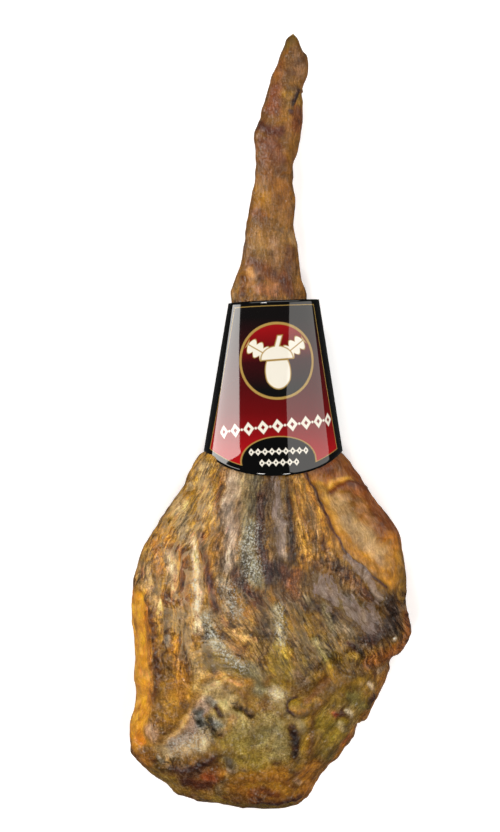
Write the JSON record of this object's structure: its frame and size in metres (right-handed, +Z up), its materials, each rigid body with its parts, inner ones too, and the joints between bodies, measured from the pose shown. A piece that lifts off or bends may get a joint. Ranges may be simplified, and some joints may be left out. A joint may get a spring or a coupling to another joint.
{
  "type": "cured ham",
  "caption": "Whole bone-in cured ham, hoof off, lying on its skin side, with a printed card sleeve round the knee.",
  "frame": {"origin": "middle of the bounding box, on the surface that the ham lies on", "axes": "+Y from the butt to the tip of the shank, +X to the right seen from above with the shank away, +Z up out of the lean face"},
  "size_m": [0.2704, 0.75, 0.1272],
  "materials": {
    "cured_meat": "dried and oily, satin",
    "printed_card": "gloss varnished print"
  },
  "bodies": {
    "root": {"ham": "cured_meat", "label_sleeve": "printed_card"}
  },
  "joints": []
}
